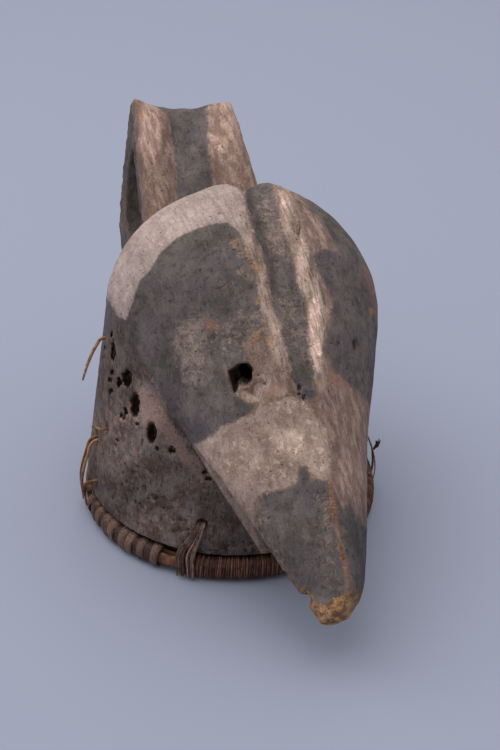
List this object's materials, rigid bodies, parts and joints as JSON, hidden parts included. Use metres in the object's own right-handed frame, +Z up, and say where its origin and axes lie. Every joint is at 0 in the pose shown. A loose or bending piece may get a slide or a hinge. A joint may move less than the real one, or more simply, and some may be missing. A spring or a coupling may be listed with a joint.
{
  "type": "carved wooden bird helmet mask",
  "caption": "Carved wooden helmet mask shaped as a bird's head: long downward beak, grooved lobed crown, upright loop crest, hollow cap and cane-bound rim.",
  "frame": {"origin": "on the ground, under the middle of the whole mask's box", "axes": "+Z up, the beak points to -Y and the crest stands at +Y, +X is the bird's left side, to the viewer's right when the beak points at the viewer"},
  "size_m": [0.2104, 0.35, 0.2591],
  "materials": {
    "carved_wood": "matte, weathered, with worn whitish, grey-black and ochre earth paint",
    "cane": "dry split cane, orange-brown, slightly glossy on its skin",
    "binding": "dark, dusty wrapping of cane strips and bark fibre"
  },
  "bodies": {
    "root": {"carved_mask": "carved_wood", "rim_cane_inner": "cane", "rim_cane_outer": "cane", "rim_binding_left": "binding", "rim_binding_round": "binding", "side_cane_front": "cane", "side_cane_back": "cane", "tie_front": "cane", "tie_left": "cane", "tie_right": "cane", "tie_stub": "cane", "loose_cane_end": "cane"}
  },
  "joints": []
}
